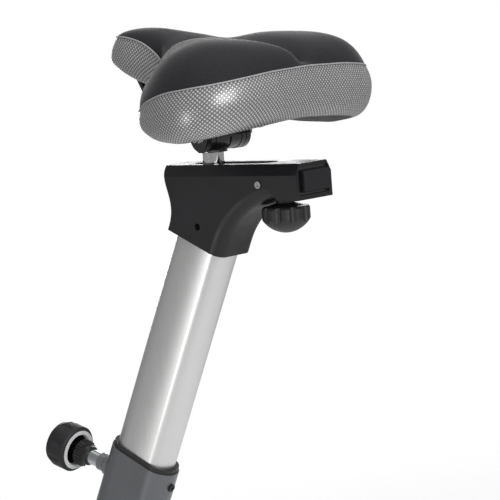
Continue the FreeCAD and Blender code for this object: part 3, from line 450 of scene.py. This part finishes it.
def swell(item, held, most):
    """Cloth simulation that puffs a panel out from its held edges, by at most a cap in metres."""
    mesh = item.data
    group = item.vertex_groups.new(name="held")
    group.add(held, 1.0, "REPLACE")
    before = [v.co.copy() for v in mesh.vertices]
    cloth = item.modifiers.new("cloth", "CLOTH")
    cloth.settings.quality = 6
    cloth.settings.mass = 0.4
    cloth.settings.tension_stiffness = 18
    cloth.settings.compression_stiffness = 18
    cloth.settings.shear_stiffness = 8
    cloth.settings.bending_stiffness = 4
    cloth.settings.air_damping = 4
    cloth.settings.use_pressure = True
    cloth.settings.uniform_pressure_force = 4
    cloth.settings.vertex_group_mass = "held"
    cloth.settings.effector_weights.gravity = 0
    cloth.point_cache.frame_start = 1
    cloth.point_cache.frame_end = SWELL_FRAMES
    scene = bpy.context.scene
    for number in range(1, SWELL_FRAMES + 1):
        scene.frame_set(number)
    after = item.evaluated_get(bpy.context.evaluated_depsgraph_get()).data
    moved = []
    for was, v in zip(before, after.vertices):
        shift = v.co - was
        if shift.length > most:
            shift.length = most
        moved.append(was + shift)
    item.modifiers.remove(cloth)
    for v, place in zip(mesh.vertices, moved):
        v.co = place
    item.vertex_groups.remove(group)
    mesh.update()
    scene.frame_set(1)


def block(name, across, along, up):
    """A moulded block with rounded edges, between two places on each axis of the saddle frame."""
    mesh = bpy.data.meshes.new(name)
    bm = bmesh.new()
    corners = [bm.verts.new(from_saddle(x, y, z)) for x in across for y in along for z in up]
    bmesh.ops.convex_hull(bm, input=corners)
    bmesh.ops.dissolve_limit(bm, angle_limit=0.01, verts=bm.verts, edges=bm.edges)
    bmesh.ops.recalc_face_normals(bm, faces=bm.faces)
    bm.to_mesh(mesh)
    bm.free()
    item = bpy.data.objects.new(name, mesh)
    bpy.context.scene.collection.objects.link(item)
    edges = item.modifiers.new("edges", "BEVEL")
    edges.width = 2 * MM
    edges.segments = 3
    smooth_shade(item)
    return item


def thicken(item, depth):
    """A real thickness inwards, then one level of subdivision."""
    wall = item.modifiers.new("thickness", "SOLIDIFY")
    wall.thickness = depth
    wall.offset = -1
    finer = item.modifiers.new("finer", "SUBSURF")
    finer.levels = finer.render_levels = 1
    smooth_shade(item)


PAD_MIDDLE = (0, 20, 55)
OVER_TUNNEL = (0, 20, 62)


def saddle_sheet(name, half_rows, marks=None):
    """A sheet all round the saddle, from the grid of its left half in the saddle frame."""
    rows = [[from_saddle(*point) for point in row] for row in mirrored(half_rows)]
    return sheet(name, rows, marks, around=True)


def rounded(point):
    return tuple(round(c, 6) for c in point)


def top_panel(points):
    """The charcoal panel over the lobes and the nose, held along the seam and puffed out."""
    half_rows = top_rows(points)
    panel = saddle_sheet("saddle_top", half_rows)
    weld(panel)
    face_away(panel, from_saddle(*PAD_MIDDLE))
    edge = {rounded(from_saddle(*row[-1])) for row in mirrored(half_rows)}
    held = [v.index for v in panel.data.vertices if rounded(v.co) in edge]
    swell(panel, held, 1.6 * MM)
    thicken(panel, 5 * MM)
    return panel


def side_band(half_rows, seam_length):
    """The vinyl band below the seam, marked with the distances along and down it, in mm."""
    step = seam_length / ROWS
    marks = []
    for i, row in enumerate(half_rows):
        down = [0]
        for a, b in zip(row, row[1:]):
            down.append(down[-1] + (Vector(b) - Vector(a)).length)
        marks.append([(i * step, d, 0) for d in down])
    marks += [[(2 * seam_length - s, d, 0) for s, d, _ in row] for row in marks[1:-1]][::-1]
    band = saddle_sheet("saddle_band", half_rows, marks)
    face_away(band, from_saddle(*PAD_MIDDLE))
    across = len(half_rows[0])
    held = [i * across + j for i in range(len(marks)) for j in (0, across - 1)]
    swell(band, held, 1.2 * MM)
    thicken(band, 3 * MM)
    return band


def underside(band_rows, outward):
    """The black moulded shell that closes the saddle from below."""
    half_rows = [shell_profile(row[-1], o, i) for i, (row, o) in enumerate(zip(band_rows, outward))]
    shell = saddle_sheet("saddle_shell", half_rows)
    weld(shell)
    face_away(shell, from_saddle(*OVER_TUNNEL))
    thicken(shell, 2.5 * MM)
    return shell


def seam_welt(points, outward):
    """The thin piping that covers the seam."""
    line = mirrored([[tuple(p + o * 0.3)] for p, o in zip(points, outward)])
    return tube("saddle_welt", [from_saddle(*p) for (p,) in line], 0.85 * MM)


def nose_socket():
    """The moulded block in the nose that holds the front ends of the rails."""
    return block("nose_socket", (-14, 14), (-109, -88), (62.5, 72))


# ---- materials -------------------------------------------------------------------------------

def new_material(name, colour, roughness, metallic=0.0, sockets=None):
    """A material, its node tree and its shader, with constants on the shader's own sockets."""
    material = bpy.data.materials.new(name)
    material.use_nodes = True
    shader = material.node_tree.nodes["Principled BSDF"]
    shader.inputs["Base Color"].default_value = (*colour, 1)
    shader.inputs["Roughness"].default_value = roughness
    shader.inputs["Metallic"].default_value = metallic
    for socket, value in (sockets or {}).items():
        shader.inputs[socket].default_value = value
    return material, material.node_tree, shader


def add(tree, kind, inputs=None, **settings):
    """A node with its settings, and with each input either linked or given a value."""
    item = tree.nodes.new(kind)
    for key, value in settings.items():
        setattr(item, key, value)
    for key, value in (inputs or {}).items():
        if hasattr(value, "is_output"):
            tree.links.new(value, item.inputs[key])
        else:
            item.inputs[key].default_value = value
    return item


def place_of(tree, stretch=(1, 1, 1), turn=(0, 0, 0)):
    """The object's own coordinates, stretched and turned."""
    where = add(tree, "ShaderNodeTexCoord")
    return add(tree, "ShaderNodeMapping", {"Vector": where.outputs["Object"], "Scale": stretch,
                                           "Rotation": turn}).outputs["Vector"]


def noise(tree, place, scale, detail=3.0, roughness=0.55):
    return add(tree, "ShaderNodeTexNoise", {"Vector": place, "Scale": scale, "Detail": detail,
                                            "Roughness": roughness}).outputs["Fac"]


def ramp(tree, factor, stops):
    """A factor turned into a colour through stops of (position, colour or grey)."""
    item = add(tree, "ShaderNodeValToRGB", {"Fac": factor})
    band = item.color_ramp
    while len(band.elements) < len(stops):
        band.elements.new(0.5)
    for element, (position, colour) in zip(band.elements, stops):
        element.position = position
        element.color = (*colour, 1) if hasattr(colour, "__len__") else (colour, colour, colour, 1)
    return item.outputs["Color"]


def multiplied(tree, first, second):
    """Two colours multiplied, at full strength."""
    mix = add(tree, "ShaderNodeMix", {0: 1.0, 6: first, 7: second}, data_type="RGBA",
              blend_type="MULTIPLY")
    return mix.outputs[2]


def spread(tree, factor, low, high):
    """A noise's usual range spread from low to high."""
    return add(tree, "ShaderNodeMapRange", {"Value": factor, "From Min": 0.3, "From Max": 0.7,
                                            "To Min": low, "To Max": high}).outputs["Result"]


def fade(tree, distance, near, far):
    """One up to the near distance, falling smoothly to nothing at the far one."""
    return add(tree, "ShaderNodeMapRange", {"Value": distance, "From Min": near, "From Max": far,
                                            "To Min": 1.0, "To Max": 0.0},
               interpolation_type="SMOOTHSTEP").outputs["Result"]


def bump(tree, shader, height, strength, distance, under=None):
    """Bump on the shader's normal, on top of the one under it."""
    inputs = {"Height": height, "Strength": strength, "Distance": distance}
    if under:
        inputs["Normal"] = under
    item = add(tree, "ShaderNodeBump", inputs)
    tree.links.new(item.outputs["Normal"], shader.inputs["Normal"])
    return item.outputs["Normal"]


def shade(colour, factor):
    return tuple(min(1, c * factor) for c in colour)


def moulded(name, colour, roughness, grain=900, depth=0.00012, spreads=(0.06, 0.1)):
    """Moulded plastic: fine spark-eroded grain, faint flow marks and handled patches."""
    material, tree, shader = new_material(name, colour, roughness,
                                          sockets={"Specular IOR Level": 0.45})
    place = place_of(tree)
    fine = noise(tree, place, grain, 4)
    broad = noise(tree, place, 14, 3)
    tone, rough = spreads
    dark = shade(colour, 1 - tone * 2)
    light = shade(colour, 1 + tone * 2)
    tree.links.new(ramp(tree, broad, ((0.3, dark), (0.7, light))), shader.inputs["Base Color"])
    tree.links.new(spread(tree, noise(tree, place, 45, 4), roughness - rough / 2, roughness + rough),
                   shader.inputs["Roughness"])
    bump(tree, shader, fine, 0.35, depth)
    return material


def painted(name, colour, roughness, coat, flake=0.0):
    """Sprayed paint: soft orange peel under a clear coat."""
    material, tree, shader = new_material(name, colour, roughness, metallic=flake,
                                          sockets={"Coat Weight": coat, "Coat Roughness": 0.12})
    place = place_of(tree)
    peel = noise(tree, place, 260, 2)
    speck = noise(tree, place, 1800, 2)
    tree.links.new(ramp(tree, speck, ((0.35, shade(colour, 0.88)), (0.7, shade(colour, 1.14)))),
                   shader.inputs["Base Color"])
    tree.links.new(spread(tree, noise(tree, place, 30, 4), roughness - 0.05, roughness + 0.07),
                   shader.inputs["Roughness"])
    bump(tree, shader, peel, 0.18, 0.0002)
    return material


def metal(name, colour, roughness, stretch=(1, 1, 1), lines=400, tarnish=0.1, depth=0.00004):
    """Bare or plated metal with drawing or turning lines along one direction."""
    material, tree, shader = new_material(name, colour, roughness, metallic=1.0)
    lined = noise(tree, place_of(tree, stretch), lines, 3)
    stain = noise(tree, place_of(tree), 22, 5)
    tree.links.new(ramp(tree, stain, ((0.3, shade(colour, 1 - tarnish)), (0.68, shade(colour, 1.03)))),
                   shader.inputs["Base Color"])
    rough = add(tree, "ShaderNodeMath", {0: spread(tree, lined, roughness * 0.75, roughness * 1.3),
                                         1: spread(tree, stain, 0.05, -0.02)}, operation="ADD")
    tree.links.new(rough.outputs[0], shader.inputs["Roughness"])
    bump(tree, shader, lined, 0.25, depth)
    return material


CROWN = 4.5                 # drop of the post's faces beside their middle, metres per square metre


def satin_silver():
    """Silver satin coat of the post: fine metal flake on the slightly crowned faces of the tube."""
    colour = (0.75, 0.75, 0.745)
    material, tree, shader = new_material("post_silver", colour, 0.34, metallic=0.9,
                                          sockets={"Coat Weight": 0.1, "Coat Roughness": 0.2})
    rearward = (0, math.cos(POST_TILT), -math.sin(POST_TILT))
    where = add(tree, "ShaderNodeTexCoord").outputs["Object"]
    dot = add(tree, "ShaderNodeVectorMath", {0: where, 1: rearward}, operation="DOT_PRODUCT")
    across = dot.outputs["Value"]
    square = add(tree, "ShaderNodeMath", {0: across, 1: across}, operation="MULTIPLY").outputs[0]
    crown = add(tree, "ShaderNodeMath", {0: square, 1: -CROWN}, operation="MULTIPLY").outputs[0]
    lines = noise(tree, place_of(tree, (1, 1, 0.02), (-POST_TILT, 0, 0)), 900, 2)
    flake = noise(tree, place_of(tree), 2600, 2)
    tree.links.new(ramp(tree, flake, ((0.3, shade(colour, 0.94)), (0.7, shade(colour, 1.05)))),
                   shader.inputs["Base Color"])
    tree.links.new(spread(tree, lines, 0.32, 0.38), shader.inputs["Roughness"])
    under = bump(tree, shader, crown, 1.0, 1.0)
    bump(tree, shader, lines, 0.05, 0.00002, under)
    return material


def charcoal_textile():
    """Matte knitted stretch fabric: fine yarn cells, soft fuzz and faint stretched patches."""
    colour = (0.0185, 0.0185, 0.0225)
    material, tree, shader = new_material("saddle_top_fabric", colour, 0.82,
                                          sockets={"Sheen Weight": 0.3, "Sheen Roughness": 0.3,
                                                   "Specular IOR Level": 0.3})
    place = place_of(tree)
    knit = add(tree, "ShaderNodeTexVoronoi", {"Vector": place, "Scale": 950.0}).outputs["Distance"]
    yarn = noise(tree, place, 1500, 3)
    cloud = noise(tree, place, 9, 4)
    light = ramp(tree, knit, ((0.05, shade(colour, 1.25)), (0.7, shade(colour, 0.7))))
    shadow = ramp(tree, cloud, ((0.3, 0.88), (0.7, 1.0)))
    tree.links.new(multiplied(tree, light, shadow), shader.inputs["Base Color"])
    tree.links.new(spread(tree, yarn, 0.76, 0.9), shader.inputs["Roughness"])
    under = bump(tree, shader, knit, 0.3, -0.0003)
    bump(tree, shader, yarn, 0.25, 0.0001, under)
    return material


DIMPLE_PITCH = 3.0          # mm between neighbouring dimples


def dimpled_vinyl():
    """Silver coated vinyl with rows of small round dimples running diagonally along the band, each dimple painted
    lighter than the ground around it as a painted glint.
    """
    colour = (0.64, 0.64, 0.645)
    material, tree, shader = new_material("saddle_side_vinyl", colour, 0.37, metallic=0.45,
                                          sockets={"Coat Weight": 0.25, "Coat Roughness": 0.22})
    weave = add(tree, "ShaderNodeAttribute", attribute_name="weave").outputs["Vector"]
    per_mm = 1 / DIMPLE_PITCH
    cells = add(tree, "ShaderNodeMapping", {"Vector": weave, "Rotation": (0, 0, math.pi / 4),
                                            "Scale": (per_mm, per_mm, 0)})
    inside = add(tree, "ShaderNodeVectorMath", {0: cells.outputs[0]}, operation="FRACTION")
    offset = add(tree, "ShaderNodeVectorMath", {0: inside.outputs[0], 1: (0.5, 0.5, 0)},
                 operation="SUBTRACT")
    away = add(tree, "ShaderNodeVectorMath", {0: offset.outputs[0]}, operation="LENGTH")
    dot = fade(tree, away.outputs["Value"], 0.24, 0.4)
    place = place_of(tree)
    cloud = noise(tree, place, 12, 3)
    base = ramp(tree, cloud, ((0.3, shade(colour, 0.95)), (0.7, shade(colour, 1.05))))
    # painted glint: dimple centres keep the full colour while the ground between them is darkened to a third,
    # standing in for the light the hollows catch
    painted_dimple_glint = ramp(tree, dot, ((0.0, 0.3), (1.0, 1.0)))
    tree.links.new(multiplied(tree, base, painted_dimple_glint), shader.inputs["Base Color"])
    tree.links.new(spread(tree, noise(tree, place, 120, 3), 0.33, 0.43), shader.inputs["Roughness"])
    hollow = add(tree, "ShaderNodeMath", {0: 1.0, 1: dot}, operation="SUBTRACT").outputs[0]
    under = bump(tree, shader, hollow, 1.0, 0.00045)
    bump(tree, shader, noise(tree, place, 900, 3), 0.12, 0.0001, under)
    return material


def rubber():
    """Matte rubber of the pull pin's cap, with a faint bloom."""
    colour = (0.015, 0.015, 0.017)
    material, tree, shader = new_material("grip_rubber", colour, 0.62,
                                          sockets={"Specular IOR Level": 0.35})
    place = place_of(tree)
    bloom = noise(tree, place, 30, 5)
    tree.links.new(ramp(tree, bloom, ((0.35, shade(colour, 0.85)), (0.72, shade(colour, 1.6)))),
                   shader.inputs["Base Color"])
    tree.links.new(spread(tree, bloom, 0.55, 0.7), shader.inputs["Roughness"])
    bump(tree, shader, noise(tree, place, 1300, 3), 0.4, 0.00012)
    return material


def slot_materials():
    """The material of each slot in the record."""
    return {
        "frame_paint": painted("frame_paint", (0.125, 0.129, 0.138), 0.36, 0.3, 0.35),
        "boss_paint": painted("boss_paint", (0.16, 0.165, 0.17), 0.42, 0.2, 0.3),
        "black_nylon": moulded("black_nylon", (0.016, 0.016, 0.017), 0.42),
        "black_steel": metal("black_steel", (0.045, 0.045, 0.048), 0.4, lines=500, tarnish=0.2),
        "zinc": metal("zinc", (0.52, 0.54, 0.56), 0.26, (0.05, 1, 1), lines=600, tarnish=0.14),
        "spring_steel": metal("spring_steel", (0.5, 0.5, 0.5), 0.3, lines=700),
        "grip_rubber": rubber(),
        "ring_grey": moulded("ring_grey", (0.66, 0.67, 0.68), 0.4, spreads=(0.02, 0.08)),
        "brass": metal("brass", (0.72, 0.52, 0.24), 0.32, lines=500),
        "post_silver": satin_silver(),
        "head_black": moulded("head_black", (0.0085, 0.0085, 0.0105), 0.42, grain=1100, depth=0.0001),
        "chrome": metal("chrome", (0.82, 0.82, 0.83), 0.07, (1, 1, 0.05), lines=300, tarnish=0.05,
                        depth=0.00001),
        "clamp_black": painted("clamp_black", (0.012, 0.012, 0.013), 0.22, 0.8),
        "knob_black": moulded("knob_black", (0.014, 0.014, 0.0155), 0.42, grain=1000),
        "bar_steel": metal("bar_steel", (0.12, 0.12, 0.125), 0.38, (1, 0.04, 1), lines=500,
                           tarnish=0.15),
        "saddle_top": charcoal_textile(),
        "saddle_side": dimpled_vinyl(),
        "saddle_shell": moulded("saddle_shell", (0.015, 0.015, 0.016), 0.5, grain=700, depth=0.0002),
        "foam": moulded("foam", (0.35, 0.33, 0.26), 0.9, grain=500, depth=0.0006),
    }


def welt_vinyl():
    """Grey vinyl of the piping along the seam, finely flecked."""
    colour = (0.34, 0.345, 0.35)
    material, tree, shader = new_material("welt_vinyl", colour, 0.5)
    place = place_of(tree)
    fleck = noise(tree, place, 420, 3)
    tree.links.new(ramp(tree, fleck, ((0.35, shade(colour, 0.8)), (0.7, shade(colour, 1.12)))),
                   shader.inputs["Base Color"])
    tree.links.new(spread(tree, fleck, 0.42, 0.58), shader.inputs["Roughness"])
    bump(tree, shader, fleck, 0.3, 0.0002)
    return material


def put_on(item, material):
    """The material in every slot of an object."""
    if item.material_slots:
        for held in item.material_slots:
            held.material = material
    else:
        item.data.materials.append(material)


# ---- studio ----------------------------------------------------------------------------------

WORLD_LIGHT = 0.3
FLOOR_DROP = 2 * MM         # gap between the object's lowest point and the floor
FLOOR_RADIUS = 1.6
FLOOR_RINGS = 24
FLOOR_SPOKES = 64
# name, place, aim, width, height, power
LIGHTS = (("overhead", (-0.2, 0.3, 2.2), (0, 0.15, 0.4), 1.4, 1.4, 18),
          ("rear", (1.05, 2.55, 1.2), (0, 0.15, 0.4), 2.0, 1.3, 54),
          ("key", (2.05, -0.3, -0.1), (0, 0.15, 0.2), 0.5, 0.8, 7),
          ("rim", (-1.6, -1.35, 0.75), (0, 0.15, 0.4), 1.0, 1.0, 20))


def area_light(name, at, aim, width, height, power):
    data = bpy.data.lights.new(name, "AREA")
    data.energy = power
    data.shape = "RECTANGLE"
    data.size = width
    data.size_y = height
    item = bpy.data.objects.new(name, data)
    item.location = at
    item.rotation_euler = (Vector(aim) - Vector(at)).to_track_quat("-Z", "Y").to_euler()
    bpy.context.scene.collection.objects.link(item)


def floor_paper(middle):
    """Matte pale paper that is solid under the object and fades out towards the floor's rim."""
    material, tree, shader = new_material("floor_paper", (0.8, 0.8, 0.8), 0.8,
                                          sockets={"Specular IOR Level": 0.1})
    tree.links.new(ramp(tree, noise(tree, place_of(tree), 3, 2), ((0.3, 0.86), (0.7, 0.9))),
                   shader.inputs["Base Color"])
    where = add(tree, "ShaderNodeTexCoord").outputs["Object"]
    away = add(tree, "ShaderNodeVectorMath", {0: where, 1: tuple(middle)}, operation="DISTANCE")
    tree.links.new(fade(tree, away.outputs["Value"], 0.15, 1.5), shader.inputs["Alpha"])
    return material


def pale_floor():
    """A round floor under the object."""
    middle = Vector((0, 0.15, cad_low.z - FLOOR_DROP))
    spokes = [2 * math.pi * k / FLOOR_SPOKES for k in range(FLOOR_SPOKES + 1)]
    rows = []
    for ring in range(FLOOR_RINGS + 1):
        radius = FLOOR_RADIUS * ring / FLOOR_RINGS
        rows.append([middle + Vector((math.cos(a), math.sin(a), 0)) * radius for a in spokes])
    floor = sheet("floor", rows)
    weld(floor)
    put_on(floor, floor_paper(middle))


def white_surround():
    """A surround that the camera sees as white and that lights the object only softly."""
    world = bpy.data.worlds.new("studio")
    world.use_nodes = True
    tree = world.node_tree
    background = tree.nodes["Background"]
    seen = add(tree, "ShaderNodeLightPath").outputs["Is Camera Ray"]
    bright = add(tree, "ShaderNodeMapRange", {"Value": seen, "To Min": WORLD_LIGHT, "To Max": 1.0})
    background.inputs["Color"].default_value = (1, 1, 1, 1)
    tree.links.new(bright.outputs["Result"], background.inputs["Strength"])
    bpy.context.scene.world = world


def studio():
    """A pale floor that fades into a white surround, and soft lights."""
    pale_floor()
    white_surround()
    for light in LIGHTS:
        area_light(*light)
    scene = bpy.context.scene
    scene.view_settings.view_transform = "Standard"
    scene.view_settings.look = "None"


# ---- assembly --------------------------------------------------------------------------------

add_camera()
materials = slot_materials()
for part in frame["record"]["subparts"]:
    put_on(frame["nodes"][part["node"]], materials[part["material_slot"]])

points, outward, seam_length = seam_rows()
band_rows = [band_profile(p, o) for p, o in zip(points, outward)]
top = top_panel(points)
band = side_band(band_rows, seam_length)
shell = underside(band_rows, outward)
welt = seam_welt(points, outward)
socket = nose_socket()

for piece, slot, material in ((top, "saddle_top", materials["saddle_top"]),
                              (band, "saddle_side", materials["saddle_side"]),
                              (shell, "saddle_shell", materials["saddle_shell"]),
                              (welt, "saddle_side", welt_vinyl()),
                              (socket, "saddle_shell", materials["saddle_shell"])):
    put_on(piece, material)
    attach(piece, "saddle")
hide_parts("saddle_cover", "saddle_foam")
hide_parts("saddle_skirt")
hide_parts("saddle_pan")
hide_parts("front_rail_socket")

studio()
